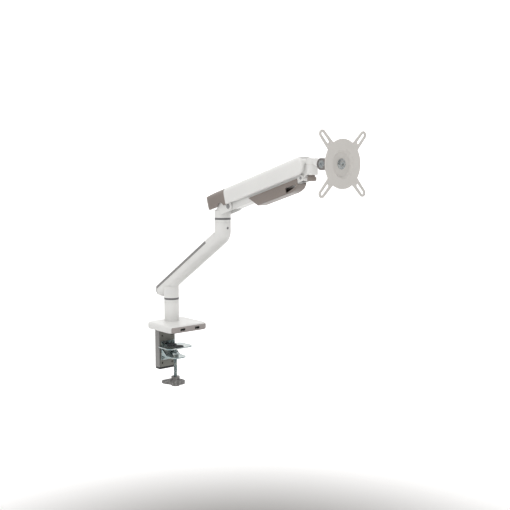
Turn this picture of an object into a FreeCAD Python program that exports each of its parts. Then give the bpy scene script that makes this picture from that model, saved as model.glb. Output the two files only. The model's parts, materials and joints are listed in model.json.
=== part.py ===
"""Desk-clamp monitor arm: one post, a cast lower arm, a sprung parallel upper arm and a tilting VESA head.

Frame: millimetres, +Z up, origin on the post axis at the desk surface. The arm reaches along -Y.
The spring arm's pieces are drawn level, with the main pivot at the origin, then raised to the rest angle.
"""
import FreeCAD, Part
import math
import os
from FreeCAD import Vector as V

# Base and desk clamp
BASE_X = 50.0              # half width of the base
BASE_FRONT = -69.0
BASE_REAR = 30.0
BASE_H = 16.0
BASE_CORNER = 15.0
COVER_WALL = 2.2
LIP_WALL = 4.6             # thicker wall round the bottom of the cover
LIP_TOP = 5.2
PAD_T = 1.5                # rubber under the base
STEEL_T = 5.0              # bent steel bracket
BRACKET_FACE = 19.0        # the bracket's inner face, against the desk edge
BRACKET_X = 19.0
BRACKET_LOW = -91.0
COVER_BACK = 38.0
FOOT_LOW = -96.0
BEZEL_BACK = -64.5         # back of the front bezel
BEZEL_TOP = 13.4
USB_X = 19.0               # the two ports stand this far each side of the middle
USB_Z = 7.6
USB_W = 12.5
USB_H = 5.12
SHELL_T = 0.3
GROMMET_X, GROMMET_Z = -32.0, 6.5   # cable hole in the rear of the cover
SCREW_Y = -12.0            # clamp screw axis
JAW_SCREW_LOW = -68.6
JAW_X = 18.0
JAW_FRONT = -36.0
JAW_ROUND = 14.0
JAW_GUSSET = -4.0          # front end of the jaw's side gussets
PAD_R = 11.0               # two rubber discs on the pressure plate
PAD_SPAN = 12.9            # from the screw axis to each of them
PLATE_TOP = -39.5          # pressure plate at rest
PLATE_T = 2.5
THREAD_R = 3.95            # M8 thread, major radius less clearance
KNOB_TOP = -108.0
KNOB_LOW = -130.0
KNOB_LOBES = [(155, 31, 6.0), (300, 22.5, 6.5), (50, 20, 6.5)]      # angle, reach, tip radius
KNOB_HOLE = 15.0           # lanyard hole, from the screw axis

# Post and lower arm
TUBE_R = 16.5
POST_TOP = 64.0
RING_T = 4.0
HUB_LOW = POST_TOP + RING_T
SHAFT_R = 10.0
ELBOW_Y = -184.0
ARM_SLOPE = math.radians(32.1)
ARM_AXIS_Z = 97.8          # the sloping axis crosses the post axis at this height
ARM_HALF_H = 13.2
NOSE_TIP = 48.0
NOSE_ROUND = 12.0
CRESCENT = 4.5             # the cover's thickness at the nose
BEND_R = 30.0              # outside radius of the bend under the elbow
STRIP_T = 6.5              # cable cover strip
STRIP_END = -146.0
TUBE_TOP = 248.5
ELBOW_SHAFT_R = 8.0
BUSH_T = 2.5
RUN = 0.05                 # radial running clearance

# Spring arm: pivots of the parallel linkage at rest
REST_ANGLE = 15.9          # degrees above level
LIFT_Y, LIFT_Z = -214.0, 297.0
LINK_DY, LINK_DZ = -6.0, -20.5      # link pivot from main pivot
LINK_LEN = 210.0
HOUSE_X = 19.0
HOUSE_UP = 17.1
HOUSE_WALL = 2.2
LOWER_R = 3.6              # lower edges of the housing
SLOT_X = 13.7              # half width of the opening under the housing
FORK_X = 11.4              # half width of the opening in the housing's front
SEAM_Y = 1.5               # where the housing ends and its end cap begins, in the level drawing
CAP_Y = 69.0
CAP_LOW = -15.2
CAP_X = 17.3               # half width inside the cap's cheeks, which pass outside the elbow tube
CAP_CUT = -4.5             # between the cheeks the cap is open below this level
FRAME_X0, FRAME_X1 = 14.9, 16.3     # inner frame side plates
SPACERS = [(-45, 6.0), (-190, 0.0)] # the frame's cross bars
SEAT_Y, SEAT_Z = -161, 4.0          # screws that hold the spring seat
EAR_X0, EAR_X1 = 11.0, 14.5         # ears of the elbow bracket
LINK_X0, LINK_X1 = 7.9, 10.5        # walls of the lower link
LINK_FRONT_R, LINK_REAR_R = 6.2, 8.2
TROUGH_X = 13.0
TROUGH_LOW = -40.5
MOUTH_Y = -168.0           # in front of this the trough's cheeks are open
TONGUE_X = 7.4
PIVOT_R = 3.5
LINK_PIN_R = 3.0
ANCHOR_R = 11.0            # spring anchor below the main pivot
ANCHOR_ANGLE = 102.5       # degrees from the arm's direction, turning down
SPRING_TILT = 3.0          # degrees between the spring and the arm
SPRING_R = 8.0
WIRE_R = 1.6
SPRING_TURNS = 14

# Head
SWIVEL_Y = -440.0
BARREL_R = 10.6
DRUM_R = 14.5              # knuckle that fills the housing's fork
DRUM_X = 11.0
DRUM_CUT = 119.1           # degrees, lean of the drum's lower cut
BARREL_LOW = 339.5
BARREL_MID = 357.2
BARREL_TOP = 369.0
TILT_Y, TILT_Z = -479.0, 358.4
TILT_R = 10.5
PLATE_Y = -516.3
PLATE_THICK = 2.5
DISC_R = 42.7
DISH_R = 25.3
DISH_DEPTH = 5.0
VESA_HALF = 50.0
ARM_TIP_R = 6.75
ARM_ROOT = 36.0
SLOT_HALF = 3.1
SLOT_IN, SLOT_OUT = 49.0, 73.8      # slot ends, from the plate's middle

X_AXIS = V(1, 0, 0)
Y_AXIS = V(0, 1, 0)
Z_AXIS = V(0, 0, 1)


# ---- small tools ----

def box(x0, x1, y0, y1, z0, z1):
    return Part.makeBox(x1 - x0, y1 - y0, z1 - z0, V(x0, y0, z0))


def rod_x(y, z, r, x0, x1):
    return Part.makeCylinder(r, x1 - x0, V(x0, y, z), X_AXIS)


def rod_y(x, z, r, y0, y1):
    return Part.makeCylinder(r, y1 - y0, V(x, y0, z), Y_AXIS)


def rod_z(x, y, r, z0, z1):
    return Part.makeCylinder(r, z1 - z0, V(x, y, z0), Z_AXIS)


def pair_x(y, z, r, x0, x1):
    """The same disc on both sides of the middle plane."""
    return rod_x(y, z, r, x0, x1).fuse(rod_x(y, z, r, -x1, -x0))


def plan_box(x0, x1, y0, y1, r, z0, z1):
    """A block with its upright edges rounded."""
    block = box(x0, x1, y0, y1, z0, z1)
    upright = [e for e in block.Edges if abs(e.tangentAt(e.FirstParameter).z) > 0.9]
    return block.makeFillet(r, upright)


def stadium(y0, y1, r, z0, z1):
    """An upright block on the middle plane with round ends, whose end centres are at y0 and y1."""
    corners = [V(r, y0, z0), V(r, y1, z0), V(-r, y1, z0), V(-r, y0, z0)]
    edges = [Part.LineSegment(corners[0], corners[1]).toShape(),
             Part.Arc(corners[1], V(0, y1 + r, z0), corners[2]).toShape(),
             Part.LineSegment(corners[2], corners[3]).toShape(),
             Part.Arc(corners[3], V(0, y0 - r, z0), corners[0]).toShape()]
    return Part.Face(Part.Wire(edges)).extrude(V(0, 0, z1 - z0))


def side_prism(points, x0, x1):
    """A prism along X over a polygon of (y, z) points."""
    ring = [V(x0, y, z) for y, z in points]
    return Part.Face(Part.makePolygon(ring + ring[:1])).extrude(V(x1 - x0, 0, 0))


def belt(circles, x0, x1):
    """A plate along X whose outline is a taut belt round circles (y, z, r), listed anticlockwise in y-z."""
    tangents = []
    for (y1, z1, r1), (y2, z2, r2) in zip(circles, circles[1:] + circles[:1]):
        way = math.atan2(z2 - z1, y2 - y1)
        lean = math.asin((r1 - r2) / math.hypot(y2 - y1, z2 - z1))
        out = way - math.pi / 2 + lean
        tangents.append((out, V(x0, y1 + r1 * math.cos(out), z1 + r1 * math.sin(out)),
                         V(x0, y2 + r2 * math.cos(out), z2 + r2 * math.sin(out))))
    edges = []
    for i, (y, z, r) in enumerate(circles):
        angle_in, _, arrive = tangents[i - 1]
        angle_out, leave, _ = tangents[i]
        turn = (angle_out - angle_in) % (2 * math.pi)
        middle = angle_in + turn / 2
        if turn > 1e-6:
            top = V(x0, y + r * math.cos(middle), z + r * math.sin(middle))
            edges.append(Part.Arc(arrive, top, leave).toShape())
        edges.append(Part.LineSegment(leave, tangents[i][2]).toShape())
    return Part.Face(Part.Wire(edges)).extrude(V(x1 - x0, 0, 0))


def socket_screw(centre, way, head_r, head_h, shank_r, shank_len, hex_r):
    """A cap screw: head outside, shank along way from the face point centre, hex socket in the head."""
    head = Part.makeCylinder(head_r, head_h, centre - way * head_h, way)
    shank = Part.makeCylinder(shank_r, shank_len, centre, way)
    return head.fuse(shank).cut(hex_prism(centre - way * head_h, way, hex_r, head_h * 0.6))


def hex_prism(centre, way, r, depth):
    side = X_AXIS if abs(way.x) < 0.9 else Z_AXIS
    other = way.cross(side)
    angles = [k * math.pi / 3 for k in range(7)]
    corners = [centre + (side * math.cos(a) + other * math.sin(a)) * r for a in angles]
    return Part.Face(Part.makePolygon(corners)).extrude(way * depth)


def round_edges(shape, r, wanted):
    """Fillet the edges whose middle point passes the test."""
    chosen = [e for e in shape.Edges if wanted(e.valueAt((e.FirstParameter + e.LastParameter) / 2), e)]
    return shape.makeFillet(r, chosen)


def raise_arm(shape):
    """From the level drawing to the arm's rest place: -Y becomes the arm's direction."""
    placed = shape.copy()
    placed.rotate(V(0, 0, 0), X_AXIS, -REST_ANGLE)
    placed.translate(V(0, LIFT_Y, LIFT_Z))
    return placed


def to_level(y, z):
    """A point of the rest pose in the level drawing."""
    a = math.radians(REST_ANGLE)
    dy, dz = y - LIFT_Y, z - LIFT_Z
    return dy * math.cos(a) - dz * math.sin(a), dy * math.sin(a) + dz * math.cos(a)


def save(node, shape):
    assert shape.isValid(), node
    shape.exportStep(os.path.join("parts", node + ".step"))


BEND_Y = ELBOW_Y - TUBE_R + BEND_R
BEND_Z = ARM_AXIS_Z - BEND_Y * math.tan(ARM_SLOPE) + (BEND_R - ARM_HALF_H) / math.cos(ARM_SLOPE)
BEAM_END = (BEND_Y - (BEND_R - ARM_HALF_H) * math.sin(ARM_SLOPE)) / math.cos(ARM_SLOPE)
LINK_Y, LINK_Z = to_level(LIFT_Y + LINK_DY, LIFT_Z + LINK_DZ)
WRIST_Y = LIFT_Y - LINK_LEN * math.cos(math.radians(REST_ANGLE))
WRIST_Z = LIFT_Z + LINK_LEN * math.sin(math.radians(REST_ANGLE))
LINK_END_Y = WRIST_Y + LINK_DY
LINK_END_Z = WRIST_Z + LINK_DZ


# ---- base and clamp ----

def base_block(z0, z1, inset):
    corner = BASE_CORNER - inset
    return plan_box(-BASE_X + inset, BASE_X - inset, BASE_FRONT + inset, BASE_REAR - inset, corner, z0, z1)


def base_outer():
    block = base_block(PAD_T * 0.5, BASE_H, 0)
    block = round_edges(block, 6.0, lambda p, e: p.z > BASE_H - 0.01)
    return round_edges(block, 3.6, lambda p, e: p.z < PAD_T * 0.5 + 0.01)


def usb_hole(side, grow, y0, y1):
    w, h = USB_W / 2 + grow, USB_H / 2 + grow
    return box(side * USB_X - w, side * USB_X + w, y0, y1, USB_Z - h, USB_Z + h)


def front_zone(gap):
    return box(-60, 60, BASE_FRONT - 5, BEZEL_BACK + gap, -1, BEZEL_TOP + gap)


def base_cover():
    hollow = base_block(LIP_TOP - 0.1, BASE_H - COVER_WALL - 1.2, COVER_WALL)
    shell = base_outer().cut(hollow).cut(base_block(-1, LIP_TOP, LIP_WALL))
    shell = shell.cut(front_zone(0.15))
    shell = shell.cut(rod_z(0, 0, TUBE_R + 0.2, 0, BASE_H + 1))
    outlet = box(-BRACKET_X - 2.3, BRACKET_X + 2.3, BRACKET_FACE - 0.3, COVER_BACK, -1, 3)
    shell = shell.cut(rod_y(GROMMET_X, GROMMET_Z, 5.1, BASE_REAR - 6, BASE_REAR - COVER_WALL))
    return shell.cut(outlet).cut(rod_y(GROMMET_X, GROMMET_Z, 4.0, BASE_REAR - 6, BASE_REAR + 1))


def usb_bezel():
    block = base_outer().common(front_zone(0))
    block = block.cut(base_block(LIP_TOP - 0.1, BEZEL_TOP - 1.8, COVER_WALL + 0.3))
    block = block.cut(base_block(-1, LIP_TOP, LIP_WALL))
    for side in (-1, 1):
        block = block.cut(usb_hole(side, SHELL_T + 0.1, BASE_FRONT - 1, BEZEL_BACK + 2))
    return block


def usb_sockets():
    shells = []
    for side in (-1, 1):
        tube = usb_hole(side, SHELL_T, BASE_FRONT + 0.3, BASE_FRONT + 14.3)
        shells.append(tube.cut(usb_hole(side, 0, BASE_FRONT - 1, BASE_FRONT + 13.9)))
    return Part.makeCompound(shells)


def usb_tongues():
    tongues = []
    for side in (-1, 1):
        x = side * USB_X
        blade = box(x - 5.55, x + 5.55, BASE_FRONT + 1.6, BASE_FRONT + 10.5, USB_Z + 0.4, USB_Z + 2.24)
        block = box(x - 6.15, x + 6.15, BASE_FRONT + 10.5, BASE_FRONT + 13.85, USB_Z - 2.5, USB_Z + 2.5)
        tongues.append(blade.fuse(block))
    return Part.makeCompound(tongues)


def usb_board():
    top = USB_Z - USB_H / 2 - SHELL_T
    return box(-30, 30, BASE_FRONT + 4.8, BASE_FRONT + 27, top - 1.5, top)


def cable_grommet():
    x, z, inside = GROMMET_X, GROMMET_Z, BASE_REAR - COVER_WALL
    sleeve = rod_y(x, z, 4.0, inside, BASE_REAR - 0.1).fuse(rod_y(x, z, 5.0, inside - 1.6, inside))
    return sleeve.cut(rod_y(x, z, 2.2, BASE_REAR - 10, BASE_REAR + 1))


def post_screw_places():
    return [(19.5 * math.cos(a), 19.5 * math.sin(a)) for a in (math.radians(45 + 90 * k) for k in range(4))]


def clamp_bracket():
    """Bent steel: the leg under the post and the leg that hangs behind the desk edge."""
    top = PAD_T + 3.0
    flat = box(-39, 39, BASE_FRONT + 32, BRACKET_FACE + STEEL_T, PAD_T, top)
    drop = box(-BRACKET_X, BRACKET_X, BRACKET_FACE, BRACKET_FACE + STEEL_T, BRACKET_LOW, top)
    bent = flat.fuse(drop).removeSplitter()
    back = BRACKET_FACE + STEEL_T
    bent = round_edges(bent, 2.5, lambda p, e: p.y > back - 0.01 and p.z > top - 0.01 and abs(p.x) < 1)
    for x, y in post_screw_places():
        bent = bent.cut(rod_z(x, y, 2.75, -1, top + 1))
    for x in (-13, 13):
        for z in (-20, -38, JAW_SCREW_LOW, -82):
            bent = bent.cut(rod_y(x, z, 2.1, BRACKET_FACE - 1, BRACKET_FACE + STEEL_T + 1))
    return bent


def desk_pad():
    return plan_box(-38, 38, BASE_FRONT + 34, BRACKET_FACE - 4, 4, 0, PAD_T)


def post():
    foot = PAD_T + 3.0
    body = rod_z(0, 0, TUBE_R, foot, POST_TOP).fuse(rod_z(0, 0, 25.0, foot, foot + 4.5))
    body = round_edges(body, 0.8, lambda p, e: p.z > POST_TOP - 0.01)
    groove = ring(0, 0, TUBE_R + 1, TUBE_R - 0.6, 57.4, 58.3)
    body = body.cut(rod_z(0, 0, SHAFT_R, 30, POST_TOP + 1)).cut(groove)
    for x, y in post_screw_places():
        body = body.cut(rod_z(x, y, 2.1, foot - 1, foot + 6))
    return body


def post_screws():
    return Part.makeCompound([rod_z(x, y, 2.1, PAD_T + 0.1, PAD_T + 7.2).fuse(
        Part.makeCone(2.7, 2.1, 1.5, V(x, y, PAD_T + 0.1))) for x, y in post_screw_places()])


def ring(x, y, r_out, r_in, z0, z1):
    return rod_z(x, y, r_out, z0, z1).cut(rod_z(x, y, r_in, z0 - 1, z1 + 1))


def bracket_cover():
    """The cable cover that clips round the back of the hanging leg."""
    outer = plan_box(-BRACKET_X - 2, BRACKET_X + 2, BRACKET_FACE + 0.4, COVER_BACK, 3, BRACKET_LOW, -0.3)
    front = box(-BRACKET_X - 2, BRACKET_X + 2, BRACKET_FACE + 0.4, BRACKET_FACE + 6, BRACKET_LOW, -0.3)
    inner = box(-BRACKET_X - 0.1, BRACKET_X + 0.1, BRACKET_FACE - 1, COVER_BACK - 2, BRACKET_LOW - 1, 1)
    return outer.fuse(front).cut(inner).removeSplitter()


def bracket_foot():
    sole = plan_box(-BRACKET_X - 2, BRACKET_X + 2, BRACKET_FACE, COVER_BACK, 4, FOOT_LOW, BRACKET_LOW)
    sole = round_edges(sole, 1.8, lambda p, e: p.z < FOOT_LOW + 0.01)
    return sole.cut(box(-15, 15, BRACKET_FACE + STEEL_T + 1, COVER_BACK - 3, FOOT_LOW - 1, BRACKET_LOW + 1))


def gusset(side):
    """Triangular side wall that stiffens the jaw against its upright leg."""
    outline = [(JAW_GUSSET, -61.5), (BRACKET_FACE - 1, -61.5), (BRACKET_FACE - 1, -50.0), (12.0, -50.0)]
    x0, x1 = sorted((side * (JAW_X - 2.5), side * JAW_X))
    return side_prism(outline, x0, x1)


def jaw_bracket():
    """Pressed steel angle that carries the clamp screw: an upright leg, a round tongue and two gussets."""
    face = BRACKET_FACE
    tongue = plan_box(-JAW_X, JAW_X, JAW_FRONT, 60, JAW_ROUND, -64, -61.5)
    tongue = tongue.common(box(-40, 40, -60, face - 1, -70, -50))
    leg = plan_box(-JAW_X, JAW_X, face - 3, face, 0.5, JAW_SCREW_LOW - 6, -32)
    jaw = tongue.fuse([leg, gusset(-1), gusset(1), rod_z(0, SCREW_Y, 7.5, -64, -55)]).removeSplitter()
    jaw = jaw.cut(rod_z(0, SCREW_Y, THREAD_R + RUN, -70, -50))
    for x in (-13, 13):
        for z in (-38, JAW_SCREW_LOW):
            jaw = jaw.cut(rod_y(x, z, 2.7, face - 4, face + 1))
    return jaw


def jaw_screws():
    face = BRACKET_FACE - 3
    return Part.makeCompound([socket_screw(V(x, face, z), Y_AXIS, 4.2, 2.4, 2.1, 7.5, 1.7)
                              for x in (-13, 13) for z in (-38, JAW_SCREW_LOW)])


def pressure_plate():
    low = PLATE_TOP - PLATE_T
    plate = plan_box(-33, 33, SCREW_Y - 25, SCREW_Y + 25, 11, low, PLATE_TOP)
    plate = plate.fuse(rod_z(0, SCREW_Y, 8.0, low - 4.5, low))
    return plate.cut(rod_z(0, SCREW_Y, THREAD_R + RUN, low - 10, 0)).cut(rod_z(0, SCREW_Y, 6.5, low + 0.7, 0))


def pressure_pads():
    pads = []
    for side in (-1, 1):
        pad = rod_z(0, SCREW_Y + side * PAD_SPAN, PAD_R, PLATE_TOP, PLATE_TOP + 1.7)
        pads.append(round_edges(pad, 0.5, lambda p, e: p.z > PLATE_TOP + 1.69))
    return Part.makeCompound(pads)


def clamp_screw():
    low = PLATE_TOP - PLATE_T
    rod = rod_z(0, SCREW_Y, THREAD_R, KNOB_TOP - 12, low + 0.75)
    return rod.fuse(rod_z(0, SCREW_Y, 6.3, low + 0.75, PLATE_TOP - 0.1))


def knob_wing(angle, reach, r):
    """One lobe of the grip, thinner towards its tip."""
    root, tip = KNOB_LOW + 0.2, KNOB_LOW + 0.26 * reach
    lobe = belt([(0, 0, 7.5), (reach - r, 0, r)], 0, 30)
    lobe.rotate(V(0, 0, 0), Y_AXIS, -90)
    lobe.rotate(V(0, 0, 0), Z_AXIS, -90)
    lobe.translate(V(0, 0, KNOB_LOW))
    side = [V(-8, -20, root), V(reach, -20, tip), V(reach, -20, KNOB_TOP - 8), V(-8, -20, KNOB_TOP - 4)]
    lobe = lobe.common(Part.Face(Part.makePolygon(side + side[:1])).extrude(V(0, 40, 0)))
    lobe = round_edges(lobe, 1.6, lambda p, e: abs(e.tangentAt(e.FirstParameter).z) < 0.5 and p.x > -7)
    lobe.rotate(V(0, 0, 0), Z_AXIS, angle)
    lobe.translate(V(0, SCREW_Y, 0))
    return lobe


def clamp_knob():
    """A three-lobed cast grip with one long wing, a hole through one lobe and a collar round the screw."""
    grip = rod_z(0, SCREW_Y, 9.5, KNOB_LOW + 0.8, KNOB_TOP)
    grip = round_edges(grip, 1.0, lambda p, e: p.z > KNOB_TOP - 0.01)
    for angle, reach, r in KNOB_LOBES:
        grip = grip.fuse(knob_wing(angle, reach, r))
    hole_angle = math.radians(KNOB_LOBES[1][0])
    hole = rod_z(KNOB_HOLE * math.cos(hole_angle), SCREW_Y + KNOB_HOLE * math.sin(hole_angle), 2.4,
                 KNOB_LOW - 1, KNOB_TOP)
    return grip.cut(hole).cut(rod_z(0, SCREW_Y, THREAD_R, KNOB_TOP - 12, KNOB_TOP + 1)).removeSplitter()


# ---- lower arm ----

def slope(shape):
    placed = shape.copy()
    placed.rotate(V(0, 0, 0), X_AXIS, -math.degrees(ARM_SLOPE))
    placed.translate(V(0, 0, ARM_AXIS_Z))
    return placed


def keel(shift):
    """Upright block with a round nose and a soft underside that trims the beam over the post."""
    block = stadium(-30, NOSE_TIP - TUBE_R - shift, TUBE_R, HUB_LOW, 260)
    return round_edges(block, NOSE_ROUND, lambda p, e: p.z < HUB_LOW + 0.01)


def sloping_beam():
    """U section: round underneath, upright sides and a flat top."""
    axis = TUBE_R - ARM_HALF_H
    sides = box(-TUBE_R, TUBE_R, BEAM_END, 75, axis, ARM_HALF_H)
    sides = round_edges(sides, 2.0, lambda p, e: p.z > ARM_HALF_H - 0.01 and abs(p.x) > TUBE_R - 0.01)
    under = rod_y(0, axis, TUBE_R, BEAM_END, 75).common(box(-30, 30, BEAM_END - 1, 76, -30, axis))
    beam = slope(sides.fuse(under).removeSplitter())
    elbow_plan = stadium(ELBOW_Y, 60, TUBE_R, 40, 260)
    return beam.common(elbow_plan).common(box(-30, 30, -260, 0, 40, 260).fuse(keel(0)))


def elbow_bend():
    """The tube's section swept round the bend, from the upright tube down to the end of the beam."""
    half = math.sqrt(TUBE_R ** 2 - (BEND_Y - ELBOW_Y) ** 2)
    ends = V(half, BEND_Y, BEND_Z), V(-half, BEND_Y, BEND_Z)
    arc = Part.Arc(ends[0], V(0, ELBOW_Y - TUBE_R, BEND_Z), ends[1]).toShape()
    section = Part.Face(Part.Wire([arc, Part.LineSegment(ends[1], ends[0]).toShape()]))
    bend = section.revolve(V(0, BEND_Y, BEND_Z), X_AXIS, 90 - math.degrees(ARM_SLOPE))
    rear = rod_z(0, ELBOW_Y, TUBE_R, BEND_Z - 8, BEND_Z).common(box(-30, 30, ELBOW_Y, -100, 200, 260))
    return bend.fuse([rear, rod_z(0, ELBOW_Y, TUBE_R, BEND_Z, TUBE_TOP)])


def lower_arm_full():
    return sloping_beam().fuse([rod_z(0, 0, TUBE_R, HUB_LOW, ARM_AXIS_Z - 4), elbow_bend()])


def strip_zone(gap):
    """Everything that belongs to the cable cover: the top of the beam and a crescent round the nose."""
    end = STRIP_END / math.cos(ARM_SLOPE) - gap - 7.0
    top = slope(box(-20, 20, end, 90, ARM_HALF_H - STRIP_T - gap, ARM_HALF_H + 5))
    nose = box(-20, 20, NOSE_TIP - TUBE_R + 1.5, 60, 60, 130)
    return top.fuse(nose.cut(keel(CRESCENT + gap)))


def lower_arm():
    body = lower_arm_full().cut(strip_zone(0.15))
    body = body.cut(slope(box(-8, 8, -168, 30, -3, 20)))
    body = body.cut(rod_z(0, 0, SHAFT_R + BUSH_T, HUB_LOW - 1, HUB_LOW + 20))
    body = body.cut(rod_z(0, ELBOW_Y, ELBOW_SHAFT_R + BUSH_T, TUBE_TOP - 32, TUBE_TOP + 1))
    body = body.cut(rod_y(0, 232, 2.5, ELBOW_Y - TUBE_R - 1, ELBOW_Y - 9))
    groove = ring(0, ELBOW_Y, TUBE_R + 1, TUBE_R - 0.6, TUBE_TOP - 5.2, TUBE_TOP - 4.3)
    return body.cut(groove).removeSplitter()


def lower_arm_cover():
    return lower_arm_full().common(strip_zone(0))


def elbow_set_screw():
    screw = rod_y(0, 232, 2.5, ELBOW_Y - TUBE_R + 1.2, ELBOW_Y - ELBOW_SHAFT_R - BUSH_T - 0.1)
    return screw.cut(hex_prism(V(0, ELBOW_Y - TUBE_R + 1.2, 232), Y_AXIS, 1.5, 2.5))


# ---- elbow ----

def elbow_bracket():
    """Hub and two ears: the ears carry the main pivot, the spring anchor and the lower link."""
    low = TUBE_TOP + RING_T
    hub = round_edges(rod_z(0, ELBOW_Y, TUBE_R, low, 268), 2.0, lambda p, e: p.z > 267.9)
    outline = [(LIFT_Y + LINK_DY, LIFT_Z + LINK_DZ, 9.0), (ELBOW_Y, 262, 6.0), (LIFT_Y, LIFT_Z, 9.0)]
    body = hub
    for side in (-1, 1):
        x0, x1 = sorted((side * EAR_X0, side * EAR_X1))
        body = body.fuse(belt(outline, x0, x1))
    body = body.fuse(belt([(-196, 264, 4.0), (ELBOW_Y, 262, 6.0), (-188, 270, 4.0)], -EAR_X0, EAR_X0))
    body = body.cut(pair_x(LIFT_Y, LIFT_Z, PIVOT_R + 1.5 + RUN, 10, 16))
    body = body.cut(pair_x(LIFT_Y + LINK_DY, LIFT_Z + LINK_DZ, LINK_PIN_R, 10, 16))
    anchor = anchor_place()
    body = body.cut(rod_x(anchor[0], anchor[1], 2.5, -16, 16))
    return body.cut(rod_z(0, ELBOW_Y, ELBOW_SHAFT_R, low - 1, 264)).removeSplitter()


def anchor_level():
    a = math.radians(ANCHOR_ANGLE)
    return -ANCHOR_R * math.cos(a), -ANCHOR_R * math.sin(a)


def anchor_place():
    y, z = anchor_level()
    point = Part.Vertex(V(0, y, z))
    placed = raise_arm(point)
    return placed.Point.y, placed.Point.z


def link_rear_pins():
    y, z = LIFT_Y + LINK_DY, LIFT_Z + LINK_DZ
    return pair_x(y, z, LINK_PIN_R, LINK_X0, EAR_X1).fuse(pair_x(y, z, 4.4, EAR_X1, EAR_X1 + 1.2))


def tube_pair_x(y, z, r_out, r_in, x0, x1):
    return pair_x(y, z, r_out, x0, x1).cut(rod_x(y, z, r_in, -30, 30))


# ---- spring arm, drawn level with the main pivot at the origin ----

def housing_block(inset, rear, r):
    half, up = HOUSE_X - inset, HOUSE_UP - inset
    y = -LINK_LEN
    outline = [(rear, up), (y, up), (y - up, 0), (y, -up), (rear, -up)]
    points = [V(-half, along, height) for along, height in outline]
    edges = [Part.LineSegment(points[0], points[1]).toShape(), Part.Arc(*points[1:4]).toShape(),
             Part.makePolygon(points[3:] + points[:1])]
    block = Part.Face(Part.Wire(edges)).extrude(V(2 * half, 0, 0))
    block = round_edges(block, LOWER_R,
                        lambda p, e: abs(p.x) > half - 0.01 and (p.y < -50 or abs(p.z) > up - 1))
    middle = rear - 150
    section = box(-half, half, rear - 300, rear, -up, up)
    section = round_edges(section, r, lambda p, e: abs(p.y - middle) < 0.1 and p.z > 0)
    return block.common(section)


def arm_housing():
    shell = housing_block(0, SEAM_Y, 12.0).cut(housing_block(HOUSE_WALL, 10.0, 7.5))
    slot = box(-SLOT_X, SLOT_X, -LINK_LEN, 30, -30, -6).fuse(box(-SLOT_X, SLOT_X, -232, -LINK_LEN, -30, -4))
    rear_slot = box(-HOUSE_X + HOUSE_WALL, HOUSE_X - HOUSE_WALL, -27, 30, -30, -6)
    fork = rod_x(-LINK_LEN, 0, 30, -FORK_X, FORK_X).cut(rod_x(-LINK_LEN, 0, 8, -20, 20))
    fork = fork.cut(box(-20, 20, -LINK_LEN, 0, -40, 40))
    lid = side_prism([(-LINK_LEN, 0), (-LINK_LEN - 13.4, 50), (-LINK_LEN, 50)], -20, 20)
    return shell.cut(slot.fuse(rear_slot)).cut(fork.cut(lid)).removeSplitter()


def cap_block(inset):
    half, up, rear = HOUSE_X - inset, HOUSE_UP - inset, CAP_Y - inset
    front = SEAM_Y + 0.15 - 5 * inset
    section = box(-half, half, front, 95, -HOUSE_UP, up)
    middle = (front + 95) / 2
    section = round_edges(section, 12.0 - inset, lambda p, e: abs(p.y - middle) < 0.1 and p.z > 0)
    plan = plan_box(-half, half, -60, rear, 17.0 - inset, -30, 30)
    top = [(front, up), (SEAM_Y, up), (40, 15.9 - inset), (61, 13.4 - inset), (rear, 12.5 - inset)]
    low = [(rear, CAP_LOW), (30, CAP_LOW), (front, -HOUSE_UP)]
    side = side_prism(top + low, -25, 25)
    side = round_edges(side, 9.0 - inset, lambda p, e: p.y > rear - 0.01 and p.z > 5)
    side = round_edges(side, 17.0 - inset, lambda p, e: p.y > rear - 0.01 and p.z < CAP_LOW + 0.01)
    return section.common(plan).common(side)


def end_cap():
    """Closed above and behind, open below; its cheeks pass outside the elbow and arch over the link pin."""
    cap = cap_block(0)
    cap = round_edges(cap, 1.6, lambda p, e: p.z < CAP_LOW + 0.01 and abs(p.x) > HOUSE_X - 0.01)
    cap = cap.cut(cap_block(HOUSE_X - CAP_X)).cut(box(-CAP_X, CAP_X, -5, 80, -30, CAP_CUT))
    return cap.cut(rod_x(19, -19, 10.0, -25, 25))


def frame_plates():
    outline = [(-LINK_LEN, 0, 9.5), (0, 0, 9.5)]
    plates = []
    for side in (-1, 1):
        x0, x1 = sorted((side * FRAME_X0, side * (FRAME_X1)))
        plate = belt(outline, x0, x1)
        for y in (0, -LINK_LEN):
            plate = plate.cut(rod_x(y, 0, PIVOT_R, -20, 20))
        for y, z in SPACERS + [(SEAT_Y, SEAT_Z)]:
            plate = plate.cut(rod_x(y, z, 2.0, -20, 20))
        plates.append(plate)
    return Part.makeCompound(plates)


def frame_spacers():
    bars = []
    for y, z in SPACERS:
        bars.append(rod_x(y, z, 2.8, -FRAME_X0, FRAME_X0).fuse(rod_x(y, z, 2.0, -FRAME_X1, FRAME_X1)))
    return Part.makeCompound(bars)


def pivot_pin(y):
    return rod_x(y, 0, PIVOT_R, -FRAME_X1, FRAME_X1)


def along_spring(y, shape):
    """Place a piece drawn along -Y from the origin on the tilted spring line, y along it from the anchor."""
    placed = shape.copy()
    placed.translate(V(0, -y, 0))
    placed.rotate(V(0, 0, 0), X_AXIS, -SPRING_TILT)
    anchor_y, anchor_z = anchor_level()
    placed.translate(V(0, anchor_y, anchor_z + 0.8))
    return placed


def spring_rod():
    yoke = plan_box(-5.5, 5.5, -9, 4.6, 1.5, -5.6, 5.6).cut(box(-6, 6, -2.85, 2.85, -4.1, 4.1))
    shaft = rod_y(0, 0, LINK_PIN_R, -176, -8.5)
    collar = rod_y(0, 0, 7.2, -62, -59)
    return along_spring(0, yoke.fuse([shaft, collar]).removeSplitter())


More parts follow.
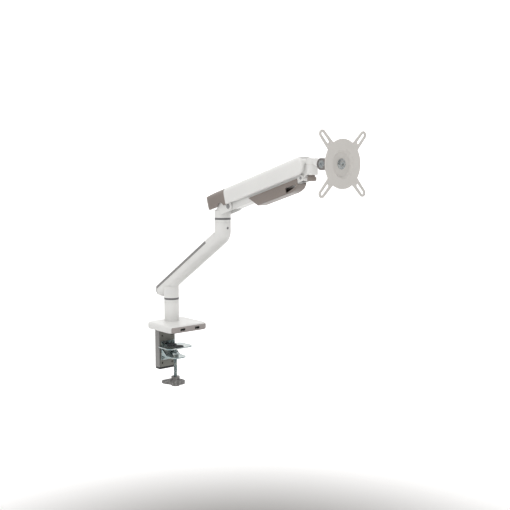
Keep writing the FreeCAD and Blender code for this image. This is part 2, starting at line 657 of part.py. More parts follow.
def lift_spring():
    length = 93.0
    mean = SPRING_R - WIRE_R - 0.3
    helix = Part.makeHelix(length / SPRING_TURNS, length, mean)
    wire = Part.Wire(Part.makeCircle(WIRE_R, V(mean, 0, 0), Y_AXIS))
    coil = Part.Wire(helix).makePipeShell([wire], True, True)
    coil.rotate(V(0, 0, 0), X_AXIS, 90)
    return along_spring(62 + WIRE_R + 0.1, coil)


def spring_seat():
    block = plan_box(-FRAME_X0, FRAME_X0, -8, 0, 1.5, -5.4, 7.6)
    block = along_spring(62 + 93 + 2 * WIRE_R + 0.3, block.cut(rod_y(0, 0, LINK_PIN_R + RUN, -20, 20)))
    return block.cut(rod_x(SEAT_Y, SEAT_Z, 1.6, -16, 16))


def seat_screws():
    screws = []
    for side in (-1, 1):
        x0, x1 = sorted((side * (FRAME_X0 - 6), side * (FRAME_X1)))
        screws.append(rod_x(SEAT_Y, SEAT_Z, 1.6, x0, x1))
    return Part.makeCompound(screws)


# ---- lower link and its cable trough, in the same level drawing ----

def lower_link():
    y0, y1, z = LINK_Y, LINK_Y - LINK_LEN, LINK_Z
    low = [(y1, z - LINK_FRONT_R), (y0, z - LINK_REAR_R)]
    floor = side_prism(low + [(y0, z - LINK_REAR_R + 2.2), (y1, z - LINK_FRONT_R + 2.2)], -LINK_X0, LINK_X0)
    link = floor.common(box(-20, 20, y1 + 12, y0 - 14, -60, 0))
    for side in (-1, 1):
        x0, x1 = sorted((side * LINK_X0, side * LINK_X1))
        link = link.fuse(belt([(y1, z, LINK_FRONT_R), (y0, z, LINK_REAR_R)], x0, x1))
    for y in (y0, y1):
        link = link.cut(rod_x(y, z, LINK_PIN_R + RUN, -20, 20))
    return link.removeSplitter()


def trough_solid(inset, r):
    """The trough's body: flat bottom, sloping rear end and a round front."""
    half, top, low = TROUGH_X - inset, LINK_Z + 0.8 + 5 * inset, TROUGH_LOW + inset
    rear = [(-61 - inset * 1.6, top), (-84 - inset, low)]
    front = [(-178, low), (-186 + inset, low + 1.2), (-193.5 + inset, low + 3.8), (-199 + inset, -31.5),
             (-201 + inset, -27), (-201 + inset, top)]
    solid = side_prism(rear + front, -half, half)
    return round_edges(solid, r, lambda p, e: abs(abs(p.x) - half) < 0.01 and p.z < -29 and p.y < -62)


def cable_trough():
    trough = trough_solid(0, 3.0).cut(trough_solid(1.8, 1.4))
    trough = trough.cut(box(-LINK_X1, LINK_X1, -215, -50, LINK_Z - LINK_REAR_R, 0))
    ledge = box(-11.3, 11.3, -198, -95, LINK_Z - 5, LINK_Z + 0.8)
    ledge = ledge.cut(box(-LINK_X1, LINK_X1, -215, -50, -40, 0))
    trough = trough.fuse(ledge)
    mouth = belt([(-193.5, -31.6, 2.4), (MOUTH_Y - 2.5, -36.5, 2.2), (MOUTH_Y - 2.5, -31.2, 2.2)], -20, 20)
    return trough.cut(mouth).cut(box(-6, 6, -90, -55, -37, -28)).removeSplitter()


# ---- wrist and head ----

def wrist_block():
    outline = [(SWIVEL_Y, 349.5, 2.5), (LINK_END_Y, LINK_END_Z, 5.0), (WRIST_Y, WRIST_Z, 7.5)]
    body = rod_z(0, SWIVEL_Y, BARREL_R, BARREL_LOW, BARREL_MID)
    body = round_edges(body, 1.0, lambda p, e: p.z < BARREL_LOW + 0.01)
    body = body.fuse([belt(outline, -TONGUE_X, TONGUE_X), wrist_drum()]).removeSplitter()
    body = body.cut(rod_x(WRIST_Y, WRIST_Z, PIVOT_R + 1.5 + RUN, -20, 20))
    body = body.cut(rod_x(LINK_END_Y, LINK_END_Z, LINK_PIN_R, -20, 20))
    return body.cut(rod_z(0, SWIVEL_Y, 6.0, BARREL_LOW - 1, BARREL_MID + 1))


def wrist_drum():
    """The knuckle's round cheeks, cut back below where the link passes and round the swivel."""
    drum = rod_x(WRIST_Y, WRIST_Z, DRUM_R, -DRUM_X, DRUM_X)
    side = [(-8, -40), (-8, 40), (-60, 40), (-60, -40)]
    sweep = side_prism(side, -30, 30).cut(box(-TONGUE_X, TONGUE_X, -70, 0, -50, 50))
    sweep.rotate(V(0, 0, 0), X_AXIS, DRUM_CUT)
    sweep.translate(V(0, WRIST_Y, WRIST_Z))
    return drum.cut(sweep).cut(rod_z(0, SWIVEL_Y, BARREL_R + 0.5, BARREL_MID, BARREL_TOP + 20))


def swivel_bracket():
    disc = rod_z(0, SWIVEL_Y, BARREL_R, BARREL_MID + 0.4, BARREL_TOP)
    disc = round_edges(disc, 1.5, lambda p, e: p.z > BARREL_TOP - 0.01)
    arm = belt([(TILT_Y, TILT_Z, 10.0), (-449, 363.1, 5.0)], -6.5, 6.5)
    body = disc.fuse(arm).removeSplitter().cut(rod_z(0, SWIVEL_Y, 4.0, BARREL_MID, BARREL_TOP - 3))
    return body.cut(rod_x(TILT_Y, TILT_Z, 4.0 + RUN, -20, 20))


def swivel_cap():
    cap = rod_z(0, SWIVEL_Y, 8.2, 328.6, 336.0).fuse(rod_z(0, SWIVEL_Y, 6.0, 336.0, BARREL_LOW - 0.2))
    cap = round_edges(cap, 2.0, lambda p, e: p.z < 328.7)
    return cap.cut(rod_z(0, SWIVEL_Y, 4.0, 331.5, BARREL_LOW + 1))


def tilt_block():
    ears = belt([(TILT_Y, TILT_Z, TILT_R), (-500, TILT_Z, 11.0)][::-1], -13, 13)
    ears = ears.cut(box(-7.2, 7.2, -490, TILT_Y + 12, TILT_Z - 15, TILT_Z + 15))
    ears = ears.cut(box(-14, 14, -520, -502, TILT_Z - 15, TILT_Z + 15))
    body = ears.fuse(rod_y(0, TILT_Z, 12.5, -508.3, -494))
    body = body.cut(rod_x(TILT_Y, TILT_Z, 4.0, -14, 14)).cut(rod_y(0, TILT_Z, 4.0, -509, -492))
    return body.removeSplitter()


def tilt_covers():
    discs = tube_pair_x(TILT_Y, TILT_Z, TILT_R, 7.7, 13.0, 17.0)
    return round_edges(discs, 0.9, lambda p, e: abs(abs(p.x) - 17.0) < 0.01 and e.Curve.Radius > 8)


def tilt_bolt():
    head = socket_screw(V(-13, TILT_Y, TILT_Z), X_AXIS, 7.4, 3.2, 4.0, 26, 2.9)
    nut = hex_prism(V(13, TILT_Y, TILT_Z), X_AXIS, 7.4, 3.2)
    return head.fuse(nut)


def in_plate(shape):
    """Turn a belt drawn in y-z so that it lies in the plate, with its thickness along Y."""
    placed = shape.copy()
    placed.rotate(V(0, 0, 0), Z_AXIS, 90)
    placed.translate(V(0, PLATE_Y, TILT_Z))
    return placed


def vesa_plate():
    back = PLATE_Y + PLATE_THICK
    floor = PLATE_Y + DISH_DEPTH
    profile = [(6.05, floor), (DISH_R - 4.6, floor), (DISH_R, PLATE_Y), (DISC_R, PLATE_Y), (DISC_R, back),
               (DISH_R + 1.1, back), (DISH_R - 3.5, floor + PLATE_THICK), (6.05, floor + PLATE_THICK)]
    ring_points = [V(r, y, TILT_Z) for r, y in profile]
    face = Part.Face(Part.makePolygon(ring_points + ring_points[:1]))
    plate = face.revolve(V(0, 0, TILT_Z), Y_AXIS, 360)
    dish = rod_y(0, TILT_Z, DISH_R + 1, PLATE_Y - 1, back + 1)
    for k in range(4):
        arm = belt([(VESA_HALF * math.sqrt(2), 0, ARM_TIP_R), (ARM_ROOT, 0, 8.5)], 0, PLATE_THICK)
        ends = [(SLOT_IN + SLOT_HALF, 0, SLOT_HALF), (SLOT_OUT - SLOT_HALF, 0, SLOT_HALF)]
        slot = belt(ends, -1, PLATE_THICK + 1)
        arm, slot = (turned(s, 45 + 90 * k) for s in (arm, slot))
        plate = plate.fuse(in_plate(arm).cut(dish)).cut(in_plate(slot))
    return plate.removeSplitter()


def turned(shape, angle):
    copy = shape.copy()
    copy.rotate(V(0, 0, 0), X_AXIS, angle)
    return copy


def rotation_bolt():
    floor = PLATE_Y + DISH_DEPTH
    head = rod_y(0, TILT_Z, 7.4, floor - 3.6, floor - 1.2)
    shoulder = rod_y(0, TILT_Z, 6.0, floor - 1.2, -508.3)
    bolt = head.fuse([shoulder, rod_y(0, TILT_Z, 4.0, -508.3, -492.5)]).removeSplitter()
    return bolt.cut(hex_prism(V(0, floor - 3.6, TILT_Z), Y_AXIS, 3.4, 3.0))


def rotation_washers():
    floor = PLATE_Y + DISH_DEPTH
    front = rod_y(0, TILT_Z, 9.2, floor - 1.2, floor - 0.05).cut(rod_y(0, TILT_Z, 6.05, floor - 3, floor + 1))
    back = rod_y(0, TILT_Z, 12.0, floor + PLATE_THICK + 0.05, -508.3)
    return Part.makeCompound([front, back.cut(rod_y(0, TILT_Z, 6.05, floor, -500))])


def build():
    os.makedirs("parts", exist_ok=True)
    nodes = {
        "desk_pad": desk_pad(), "clamp_bracket": clamp_bracket(), "base_cover": base_cover(),
        "usb_bezel": usb_bezel(), "usb_sockets": usb_sockets(), "usb_tongues": usb_tongues(),
        "usb_board": usb_board(), "cable_grommet": cable_grommet(),
        "post": post(), "post_screws": post_screws(),
        "bracket_cover": bracket_cover(), "bracket_foot": bracket_foot(), "jaw_bracket": jaw_bracket(),
        "jaw_screws": jaw_screws(), "pressure_plate": pressure_plate(), "pressure_pads": pressure_pads(),
        "clamp_screw": clamp_screw(), "clamp_knob": clamp_knob(),
        "lower_ring": ring(0, 0, TUBE_R, SHAFT_R + RUN, POST_TOP, HUB_LOW - 0.1),
        "base_shaft": rod_z(0, 0, SHAFT_R, 32, HUB_LOW + 18),
        "base_bush": ring(0, 0, SHAFT_R + BUSH_T, SHAFT_R + RUN, HUB_LOW, HUB_LOW + 20),
        "lower_arm": lower_arm(), "lower_arm_cover": lower_arm_cover(), "elbow_set_screw": elbow_set_screw(),
        "elbow_bush": ring(0, ELBOW_Y, ELBOW_SHAFT_R + BUSH_T, ELBOW_SHAFT_R + RUN, TUBE_TOP - 32, TUBE_TOP),
        "upper_ring": ring(0, ELBOW_Y, TUBE_R, ELBOW_SHAFT_R + RUN, TUBE_TOP, TUBE_TOP + RING_T - 0.1),
        "elbow_shaft": rod_z(0, ELBOW_Y, ELBOW_SHAFT_R, TUBE_TOP - 30, 263),
        "elbow_bracket": elbow_bracket(), "link_rear_pins": link_rear_pins(),
        "lift_bushes": tube_pair_x(LIFT_Y, LIFT_Z, PIVOT_R + 1.5 + RUN, PIVOT_R + RUN, EAR_X0, EAR_X1),
        "spring_anchor_pin": rod_x(*anchor_place(), 2.5, -EAR_X1, EAR_X1),
        "arm_housing": raise_arm(arm_housing()), "end_cap": raise_arm(end_cap()),
        "frame_plates": raise_arm(frame_plates()), "frame_spacers": raise_arm(frame_spacers()),
        "main_pivot_pin": raise_arm(pivot_pin(0)), "wrist_pivot_pin": raise_arm(pivot_pin(-LINK_LEN)),
        "spring_seat": raise_arm(spring_seat()), "seat_screws": raise_arm(seat_screws()),
        "spring_rod": raise_arm(spring_rod()), "lift_spring": raise_arm(lift_spring()),
        "lower_link": raise_arm(lower_link()), "cable_trough": raise_arm(cable_trough()),
        "wrist_block": wrist_block(),
        "wrist_bush": rod_x(WRIST_Y, WRIST_Z, PIVOT_R + 1.5 + RUN, -TONGUE_X, TONGUE_X).cut(
            rod_x(WRIST_Y, WRIST_Z, PIVOT_R + RUN, -20, 20)),
        "link_front_pin": rod_x(LINK_END_Y, LINK_END_Z, LINK_PIN_R, -LINK_X1, LINK_X1),
        "swivel_bush": ring(0, SWIVEL_Y, 6.0, 4.0 + RUN, BARREL_LOW, BARREL_MID),
        "swivel_washer": ring(0, SWIVEL_Y, 9.8, 4.0, BARREL_MID + 0.05, BARREL_MID + 0.4),
        "swivel_bracket": swivel_bracket(), "swivel_pin": rod_z(0, SWIVEL_Y, 4.0, 331.5, BARREL_TOP - 3),
        "swivel_cap": swivel_cap(), "tilt_block": tilt_block(), "tilt_covers": tilt_covers(),
        "tilt_bolt": tilt_bolt(),
        "tilt_washers": tube_pair_x(TILT_Y, TILT_Z, 9.5, 4.0, 6.6, 7.2),
        "vesa_plate": vesa_plate(), "rotation_bolt": rotation_bolt(), "rotation_washers": rotation_washers(),
    }
    for node, shape in nodes.items():
        save(node, shape)
    print(len(nodes), "nodes")


build()
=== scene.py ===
"""Desk-clamp monitor arm: finishes, small visible pieces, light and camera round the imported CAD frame.

Metres, +Z up, origin on the post axis at the desk surface; the arm reaches along -Y.
"""

import json
import math

import bmesh
import bpy
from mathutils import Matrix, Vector


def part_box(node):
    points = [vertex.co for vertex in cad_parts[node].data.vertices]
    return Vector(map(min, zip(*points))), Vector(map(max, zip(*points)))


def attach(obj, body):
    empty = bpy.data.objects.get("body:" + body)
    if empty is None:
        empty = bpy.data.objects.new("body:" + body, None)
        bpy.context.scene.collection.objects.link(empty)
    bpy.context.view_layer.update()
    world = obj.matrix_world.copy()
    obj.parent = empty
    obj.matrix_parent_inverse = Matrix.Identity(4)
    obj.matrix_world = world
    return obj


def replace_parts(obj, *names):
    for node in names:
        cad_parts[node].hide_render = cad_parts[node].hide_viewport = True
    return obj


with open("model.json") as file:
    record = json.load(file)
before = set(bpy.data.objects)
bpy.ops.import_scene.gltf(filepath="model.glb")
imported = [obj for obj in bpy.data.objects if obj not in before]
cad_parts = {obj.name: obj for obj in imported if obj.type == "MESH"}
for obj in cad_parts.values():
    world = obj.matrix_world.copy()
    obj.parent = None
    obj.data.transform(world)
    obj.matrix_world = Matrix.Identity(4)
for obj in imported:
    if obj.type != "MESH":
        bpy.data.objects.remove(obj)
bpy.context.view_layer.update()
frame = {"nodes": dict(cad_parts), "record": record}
NODES = frame["nodes"]

MM = 0.001

# Camera, in the row frame
CAMERA_PLACE = (-1.0236, -1.4850, 0.3495)
CAMERA_TILT = math.radians(84.024)
CAMERA_TURN = math.radians(-40.456)
CAMERA_LENS = 57.82        # mm, on a 36 mm sensor

# The clamp's screw and the ports
THREAD_R = 3.95 * MM
THREAD_DEPTH = 0.62 * MM
THREAD_PITCH = 1.25 * MM
THREAD_CREST = 0.14        # parts of a turn's height: the crest, then both flanks together
THREAD_FLANKS = 0.66
THREAD_SIDES = 40          # points round a row, and rows to a turn
THREAD_ROWS = 10
SCREW_TIP = 1.65 * MM      # thickness of the screw's swivelling tip
TIP_EDGE_R = 0.4 * MM      # its small chamfers, across and along the axis
TIP_EDGE_Z = 0.3 * MM
BLADE_HALF = 6.15 * MM     # half width of the block behind each port's tongue
BLADE_DROP = 0.26 * MM     # from the block's top to the tongue's top
BLADE_T = 1.84 * MM
CONTACT_PLACES = (-3.5, -1.0, 1.0, 3.5)  # mm from a port's middle
CONTACT_HALF = 0.5         # mm
CONTACT_OUTLINE = [(0.5, 0.0), (0.9, -0.22), (1.5, -0.3), (2.2, -0.2), (3.2, -0.12), (7.4, -0.12), (7.4, 0.0)]

# Studio
FLOOR_Z = -0.62
SWEEP_FRONT = 5.0          # how far the floor runs towards the camera
SWEEP_BACK = 3.2           # how far behind the post the floor starts to rise
SWEEP_R = 1.2
SWEEP_STEPS = 24
SWEEP_TOP = 6.0
SWEEP_WIDTH = 9.0
STAGE_MIDDLE = (0.0, -0.25, 0.0)
STAGE_NEAR = 0.55          # painted shade: the floor is darkened to grey within this distance
STAGE_FAR = 1.25           # and has its full painted glow beyond this one
STAGE_PAINTED_GLOW = 0.62
LIGHT_TARGET = (0, -0.25, 0.2)


# ---- node trees ----

class Finish:
    """A Principled material with its node tree, and short ways to add texture in row-frame metres."""

    def __init__(self, name, colour, roughness, metallic=0.0, specular=0.5):
        self.material = bpy.data.materials.new(name)
        self.material.use_nodes = True
        self.tree = self.material.node_tree
        self.shader = self.tree.nodes["Principled BSDF"]
        self.shader.inputs["Base Color"].default_value = (*colour, 1.0)
        self.shader.inputs["Roughness"].default_value = roughness
        self.shader.inputs["Metallic"].default_value = metallic
        self.shader.inputs["Specular IOR Level"].default_value = specular
        self.roughness = roughness
        self.place = self.tree.nodes.new("ShaderNodeTexCoord").outputs["Object"]
        self.normal = None

    def link(self, source, target):
        self.tree.links.new(source, target)

    def stretched(self, stretch):
        mapping = self.tree.nodes.new("ShaderNodeMapping")
        mapping.inputs["Scale"].default_value = stretch
        self.link(self.place, mapping.inputs["Vector"])
        return mapping.outputs["Vector"]

    def noise(self, size, detail=2.0, rough=0.5, stretch=(1, 1, 1)):
        """Noise whose blobs are about size metres across."""
        node = self.tree.nodes.new("ShaderNodeTexNoise")
        node.inputs["Scale"].default_value = 1.0 / size
        node.inputs["Detail"].default_value = detail
        node.inputs["Roughness"].default_value = rough
        self.link(self.stretched(stretch), node.inputs["Vector"])
        return node.outputs["Fac"]

    def distance(self, centre):
        """How far across the floor the point is from a centre."""
        mapping = self.tree.nodes.new("ShaderNodeMapping")
        mapping.inputs["Location"].default_value = tuple(-c for c in centre)
        mapping.inputs["Scale"].default_value = (1, 1, 0)
        self.link(self.place, mapping.inputs["Vector"])
        length = self.tree.nodes.new("ShaderNodeVectorMath")
        length.operation = "LENGTH"
        self.link(mapping.outputs["Vector"], length.inputs[0])
        return length.outputs["Value"]

    def cells(self, size):
        node = self.tree.nodes.new("ShaderNodeTexVoronoi")
        node.inputs["Scale"].default_value = 1.0 / size
        self.link(self.place, node.inputs["Vector"])
        return node.outputs["Distance"]

    def spread(self, fac, low, high, start=0.3, end=0.7):
        node = self.tree.nodes.new("ShaderNodeMapRange")
        node.inputs["From Min"].default_value = start
        node.inputs["From Max"].default_value = end
        node.inputs["To Min"].default_value = low
        node.inputs["To Max"].default_value = high
        self.link(fac, node.inputs["Value"])
        return node.outputs["Result"]

    def tint(self, fac, other, start=0.35, end=0.65):
        """Blend the present base colour towards another where fac is high."""
        node = self.tree.nodes.new("ShaderNodeMix")
        node.data_type = "RGBA"
        target = self.shader.inputs["Base Color"]
        if target.links:
            self.link(target.links[0].from_socket, node.inputs[6])
        else:
            node.inputs[6].default_value = target.default_value
        node.inputs[7].default_value = (*other, 1.0)
        self.link(self.spread(fac, 0.0, 1.0, start, end), node.inputs[0])
        self.link(node.outputs[2], target)
        return self

    def vary_roughness(self, fac, amount):
        varied = self.spread(fac, self.roughness - amount, self.roughness + amount)
        self.link(varied, self.shader.inputs["Roughness"])

    def bump(self, fac, depth):
        """Stack a bump whose full height is depth metres."""
        node = self.tree.nodes.new("ShaderNodeBump")
        node.inputs["Distance"].default_value = depth
        node.inputs["Strength"].default_value = 1.0
        self.link(fac, node.inputs["Height"])
        if self.normal is not None:
            self.link(self.normal, node.inputs["Normal"])
        self.normal = node.outputs["Normal"]
        self.link(self.normal, self.shader.inputs["Normal"])

    def soft_edges(self, radius):
        """Light catches the small edge radius that every pressed or moulded piece has."""
        node = self.tree.nodes.new("ShaderNodeBevel")
        node.samples = 4
        node.inputs["Radius"].default_value = radius
        self.normal = node.outputs["Normal"]
        self.link(self.normal, self.shader.inputs["Normal"])


def scaled(colour, k):
    return tuple(min(1.0, c * k) for c in colour)


def powder_coat(name, colour, roughness):
    """Baked powder: faint orange peel, slight cloudiness, a thin clear sheen."""
    finish = Finish(name, colour, roughness)
    finish.soft_edges(0.45 * MM)
    finish.tint(finish.noise(38 * MM, 3.0), scaled(colour, 0.965))
    finish.tint(finish.noise(0.35 * MM, 1.0), scaled(colour, 0.985), 0.45, 0.75)
    finish.vary_roughness(finish.noise(9 * MM, 3.0), 0.05)
    finish.bump(finish.noise(1.1 * MM, 2.0, 0.45), 0.035 * MM)
    finish.bump(finish.noise(0.22 * MM, 1.0), 0.008 * MM)
    finish.shader.inputs["Coat Weight"].default_value = 0.12
    finish.shader.inputs["Coat Roughness"].default_value = 0.25
    return finish


def moulded(name, colour, roughness, grain=0.3 * MM, depth=0.02 * MM):
    """Injection moulded plastic with a spark-eroded grain."""
    finish = Finish(name, colour, roughness)
    finish.soft_edges(0.35 * MM)
    finish.tint(finish.noise(30 * MM, 2.0), scaled(colour, 0.95))
    finish.tint(finish.noise(grain, 1.0), scaled(colour, 1.06), 0.45, 0.8)
    finish.vary_roughness(finish.noise(6 * MM, 2.0), 0.04)
    finish.bump(finish.cells(grain), depth)
    return finish


def plated(name, colour, roughness, cast, warm):
    """Zinc or nickel over pressed steel: passivate clouds of two tints, rolling marks, fine pits."""
    finish = Finish(name, colour, roughness, metallic=1.0)
    finish.soft_edges(0.3 * MM)
    finish.tint(finish.noise(16 * MM, 3.0, 0.6), cast, 0.4, 0.62)
    finish.tint(finish.noise(7 * MM, 2.0, 0.6), warm, 0.55, 0.75)
    finish.vary_roughness(finish.noise(3 * MM, 3.0, 0.6), 0.08)
    finish.bump(finish.noise(0.5 * MM, 2.0, 0.5, (1, 0.08, 1)), 0.008 * MM)
    return finish


def machined(name, colour, roughness, stretch=(0.05, 1, 1)):
    """Turned or drawn steel: fine lines and an oily sheen."""
    finish = Finish(name, colour, roughness, metallic=1.0)
    finish.soft_edges(0.2 * MM)
    finish.tint(finish.noise(5 * MM, 3.0), scaled(colour, 0.8))
    finish.vary_roughness(finish.noise(0.4 * MM, 2.0, 0.5, stretch), 0.07)
    finish.bump(finish.noise(0.25 * MM, 2.0, 0.5, stretch), 0.006 * MM)
    return finish


def cast_grip(name, colour):
    """Painted zinc casting: satin, with upright grip ribs, painted shade in darker stripes along the ribs and
    painted highlights in lighter blotches.
    """
    finish = Finish(name, colour, 0.38, metallic=0.55)
    finish.soft_edges(0.6 * MM)
    # Painted shade: darker upright stripes that follow the grip ribs' bump
    finish.tint(finish.noise(1.5 * MM, 2.0, 0.5, (1, 1, 0.05)), scaled(colour, 0.5), 0.42, 0.6)
    # Painted highlight: lighter blotches from 4 mm noise, standing in for the metal's highlights
    finish.tint(finish.noise(4 * MM, 3.0, 0.6), scaled(colour, 1.5), 0.52, 0.7)
    finish.vary_roughness(finish.noise(1.2 * MM, 2.0), 0.08)
    finish.bump(finish.noise(1.5 * MM, 1.0, 0.4, (1, 1, 0.05)), 0.5 * MM)
    return finish


def rubber(name, colour):
    finish = Finish(name, colour, 0.82, specular=0.3)
    finish.soft_edges(0.3 * MM)
    finish.tint(finish.noise(12 * MM, 3.0), scaled(colour, 1.5))
    finish.vary_roughness(finish.noise(2 * MM, 2.0), 0.06)
    finish.bump(finish.cells(0.4 * MM), 0.03 * MM)
    return finish


def make_finishes():
    nylon = Finish("natural_nylon", (0.72, 0.70, 0.62), 0.38)
    nylon.tint(nylon.noise(4 * MM, 2.0), (0.66, 0.64, 0.55)).bump(nylon.noise(0.5 * MM), 0.01 * MM)
    nylon.shader.inputs["Subsurface Weight"].default_value = 0.15
    nylon.shader.inputs["Subsurface Radius"].default_value = (0.002, 0.002, 0.0015)
    board = Finish("solder_mask", (0.02, 0.13, 0.05), 0.3)
    board.tint(board.cells(1.6 * MM), (0.03, 0.2, 0.08), 0.1, 0.4).bump(board.noise(0.8 * MM), 0.01 * MM)
    bright = plated("bright_zinc", (0.60, 0.61, 0.60), 0.25, (0.48, 0.52, 0.54), (0.68, 0.67, 0.62))
    return {
        "white_paint": powder_coat("white_powder", (0.80, 0.80, 0.785), 0.40),
        "plate_paint": powder_coat("plate_powder", (0.64, 0.62, 0.59), 0.44),
        "grey_paint": powder_coat("grey_powder", (0.235, 0.235, 0.205), 0.42),
        "warm_grey_plastic": moulded("warm_grey_plastic", (0.37, 0.335, 0.325), 0.45),
        "grey_plastic": moulded("grey_plastic", (0.26, 0.255, 0.25), 0.42),
        "taupe_plastic": moulded("taupe_plastic", (0.25, 0.215, 0.195), 0.34, 0.22 * MM, 0.012 * MM),
        "dark_plastic": moulded("dark_grey_plastic", (0.155, 0.155, 0.16), 0.4),
        "black_plastic": moulded("black_plastic", (0.012, 0.012, 0.013), 0.38),
        "black_rubber": rubber("black_rubber", (0.03, 0.03, 0.032)),
        "zinc_steel": plated("zinc_plate", (0.38, 0.42, 0.42), 0.24, (0.22, 0.29, 0.30), (0.55, 0.56, 0.50)),
        "bare_steel": machined("machined_steel", (0.46, 0.46, 0.47), 0.3),
        "spring_steel": machined("spring_steel", (0.16, 0.16, 0.17), 0.34),
        "nickel": plated("nickel_plate", (0.66, 0.64, 0.60), 0.2, (0.6, 0.58, 0.54), (0.7, 0.68, 0.64)),
        "clamp_knob": cast_grip("cast_grip", (0.24, 0.235, 0.23)),
        "pressure_pads": rubber("pad_rubber", (0.075, 0.078, 0.085)),
        "tilt_covers": moulded("tilt_cover_plastic", (0.20, 0.185, 0.18), 0.36),
        "tilt_bolt": bright,
        "rotation_bolt": bright,
        "rotation_washers": bright,
        "nylon": nylon,
        "board": board,
    }


def dress_nodes(finishes):
    """Every CAD node keeps its shape and takes its own finish, or else that of its record slot."""
    for part in frame["record"]["subparts"]:
        node = part["node"]
        if node in NODES:
            wear(NODES[node], finishes.get(node, finishes[part["material_slot"]]))


def wear(obj, finish):
    obj.data.materials.clear()
    obj.data.materials.append(finish.material)


# ---- small pieces ----

def add_piece(name, mesh, body, slot):
    """A bmesh drawn in the row frame becomes an object on a body, in a record slot's finish."""
    data = bpy.data.meshes.new(name)
    mesh.to_mesh(data)
    mesh.free()
    obj = bpy.data.objects.new(name, data)
    bpy.context.scene.collection.objects.link(obj)
    wear(obj, finishes[slot])
    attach(obj, body)
    return obj


def skin(mesh, rows, smooth=True):
    """Quads between neighbouring closed rows of vertices."""
    for lower, upper in zip(rows, rows[1:]):
        count = len(lower)
        for k in range(count):
            face = mesh.faces.new((lower[k], lower[(k + 1) % count], upper[(k + 1) % count], upper[k]))
            face.smooth = smooth


def thread_radius(phase):
    """A thread's profile over one turn: a narrow crest, straight flanks and a slightly wider root."""
    fall = abs((phase % 1.0) - 0.5) * 2.0
    return THREAD_R - THREAD_DEPTH * min(1.0, max(0.0, (fall - THREAD_CREST) / THREAD_FLANKS))


def clamp_screw():
    """The clamp's screw with its thread cut, and the swivelling tip under the pressure plate."""
    low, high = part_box("clamp_screw")
    centre = (low + high) / 2
    tip_r = (high.x - low.x) / 2
    tip_low = high.z - SCREW_TIP
    mesh = bmesh.new()

    def row(z, radius):
        return [mesh.verts.new((centre.x + radius(k) * math.cos(2 * math.pi * k / THREAD_SIDES),
                                centre.y + radius(k) * math.sin(2 * math.pi * k / THREAD_SIDES), z))
                for k in range(THREAD_SIDES)]

    steps = int((tip_low - low.z) / (THREAD_PITCH / THREAD_ROWS))
    rows = []
    for i in range(steps + 1):
        z = low.z + (tip_low - low.z) * i / steps
        turns = z / THREAD_PITCH
        rows.append(row(z, lambda k, turns=turns: thread_radius(turns - k / THREAD_SIDES)))
    tip_outline = ((0.0, tip_r - TIP_EDGE_R), (TIP_EDGE_Z, tip_r),
                   (SCREW_TIP - TIP_EDGE_Z, tip_r), (SCREW_TIP, tip_r - TIP_EDGE_R))
    rows += [row(tip_low + dz, lambda k, r=r: r) for dz, r in tip_outline]
    skin(mesh, rows)
    mesh.faces.new(rows[-1])
    mesh.faces.new(list(reversed(rows[0])))
    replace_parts(add_piece("clamp_screw_threaded", mesh, "clamp_spindle", "zinc_steel"), "clamp_screw")


def usb_contacts():
    """Four sprung strips under the tongue of each port, with a raised nose."""
    low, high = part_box("usb_tongues")
    blade_low = high.z - BLADE_DROP - BLADE_T
    mesh = bmesh.new()
    for port in (low.x + BLADE_HALF, high.x - BLADE_HALF):
        for offset in CONTACT_PLACES:
            rows = []
            for side in (-CONTACT_HALF, CONTACT_HALF):
                x = port + (offset + side) * MM
                rows.append([mesh.verts.new((x, low.y + y * MM, blade_low + z * MM))
                             for y, z in CONTACT_OUTLINE])
            skin(mesh, rows, smooth=False)
            mesh.faces.new(rows[1])
            mesh.faces.new(list(reversed(rows[0])))
    add_piece("usb_contacts", mesh, "base", "nickel")


# ---- studio ----

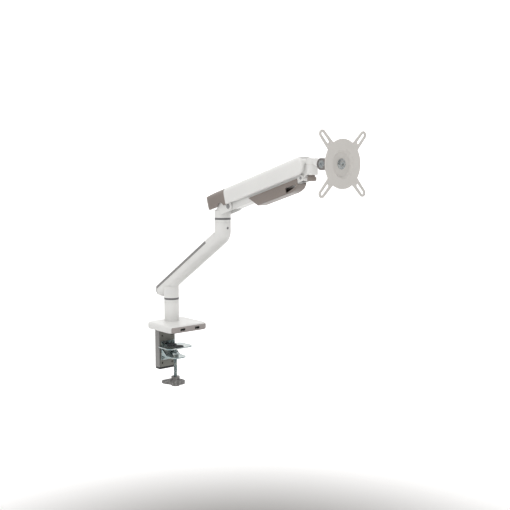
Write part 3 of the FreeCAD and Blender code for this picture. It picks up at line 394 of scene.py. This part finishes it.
def make_sweep():
    """A floor well below the clamp that rises into a backdrop: painted shade makes it dark grey near the arm,
    and a painted glow makes it white far out.
    """
    mesh = bmesh.new()
    way = Vector((math.sin(-CAMERA_TURN), math.cos(CAMERA_TURN), 0))
    side = Vector((way.y, -way.x, 0))
    profile = [(-SWEEP_FRONT, 0.0), (SWEEP_BACK, 0.0)]
    for k in range(1, SWEEP_STEPS + 1):
        angle = math.radians(90 * k / SWEEP_STEPS)
        profile.append((SWEEP_BACK + SWEEP_R * math.sin(angle), SWEEP_R * (1 - math.cos(angle))))
    profile.append((SWEEP_BACK + SWEEP_R, SWEEP_TOP))
    rows = []
    for along, up in profile:
        middle = way * along + Vector((0, 0, FLOOR_Z + up))
        rows.append([mesh.verts.new(middle + side * s * SWEEP_WIDTH / 2) for s in (-1, 1)])
    for (a, b), (c, d) in zip(rows, rows[1:]):
        mesh.faces.new((a, b, d, c)).smooth = True
    data = bpy.data.meshes.new("sweep")
    mesh.to_mesh(data)
    mesh.free()
    floor = bpy.data.objects.new("sweep", data)
    bpy.context.scene.collection.objects.link(floor)
    painted_stage = Finish("backdrop_painted_shade_and_glow", (0.88, 0.88, 0.88), 0.95, specular=0.1)
    painted_stage.tint(painted_stage.noise(0.6, 2.0), (0.865, 0.865, 0.865)).bump(painted_stage.noise(2 * MM), 0.02 * MM)
    apart = painted_stage.distance(STAGE_MIDDLE)
    # Painted shade: the floor turns dark grey within STAGE_NEAR of the stage's middle, so less light bounces
    # up onto the arm's undersides
    painted_stage.tint(apart, (0.30, 0.29, 0.28), STAGE_FAR, STAGE_NEAR)
    # Painted glow: beyond STAGE_NEAR the floor emits light, reaching full strength at STAGE_FAR, though it is
    # no lamp
    painted_stage.shader.inputs["Emission Color"].default_value = (1, 1, 1, 1)
    painted_glow = painted_stage.spread(apart, 0.0, STAGE_PAINTED_GLOW, STAGE_NEAR, STAGE_FAR)
    painted_stage.link(painted_glow, painted_stage.shader.inputs["Emission Strength"])
    wear(floor, painted_stage)


def add_light(name, place, size, power):
    data = bpy.data.lights.new(name, "AREA")
    data.shape = "RECTANGLE"
    data.size, data.size_y = size
    data.energy = power
    lamp = bpy.data.objects.new(name, data)
    lamp.location = place
    lamp.rotation_euler = (Vector(LIGHT_TARGET) - Vector(place)).to_track_quat("-Z", "Y").to_euler()
    bpy.context.scene.collection.objects.link(lamp)


def light_studio():
    world = bpy.data.worlds.new("studio")
    world.use_nodes = True
    background = world.node_tree.nodes["Background"]
    background.inputs["Color"].default_value = (1.0, 0.985, 0.97, 1)
    background.inputs["Strength"].default_value = 0.53
    bpy.context.scene.world = world
    add_light("top", (-0.3, -0.3, 2.4), (2.0, 2.0), 24)
    add_light("left", (-2.4, -1.3, 1.7), (1.0, 1.6), 13)
    add_light("right", (1.9, -1.2, 0.6), (0.8, 2.0), 3)
    bpy.context.scene.view_settings.view_transform = "Standard"
    bpy.context.scene.view_settings.look = "None"


def place_camera():
    data = bpy.data.cameras.new("camera")
    data.lens = CAMERA_LENS
    data.sensor_width = 36.0
    camera = bpy.data.objects.new("camera", data)
    camera.location = CAMERA_PLACE
    camera.rotation_euler = (CAMERA_TILT, 0.0, CAMERA_TURN)
    bpy.context.scene.collection.objects.link(camera)
    bpy.context.scene.camera = camera


# ---- assembly ----

finishes = make_finishes()
dress_nodes(finishes)
clamp_screw()
usb_contacts()
make_sweep()
light_studio()
place_camera()
